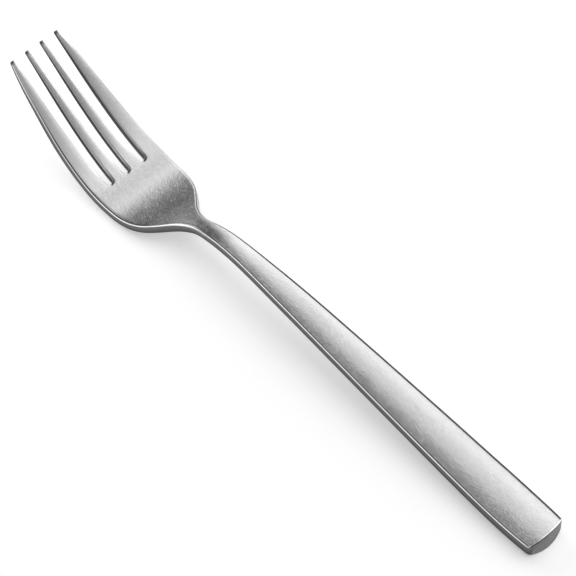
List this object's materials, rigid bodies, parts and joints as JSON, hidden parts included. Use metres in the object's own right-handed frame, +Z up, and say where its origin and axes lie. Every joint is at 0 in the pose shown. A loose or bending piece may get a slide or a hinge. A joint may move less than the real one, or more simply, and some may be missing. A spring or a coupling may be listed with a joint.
{
  "type": "dinner fork",
  "caption": "Solid stainless steel dinner fork with long tapering tines, a dished head, a narrow neck and an arched handle that widens to a blunt end.",
  "frame": {"origin": "on the table under the middle of the fork's box, as it rests on its own underside", "axes": "+X along the fork from the tips of the tines to the end of the handle, +Y across it, +Z up from the table"},
  "size_m": [0.2086, 0.0258, 0.0272],
  "materials": {
    "steel": "satin stainless steel with a fine tumbled, mottled grain; edges a little brighter, end face and tine walls matt grey"
  },
  "bodies": {
    "root": {"fork": "steel"}
  },
  "joints": []
}
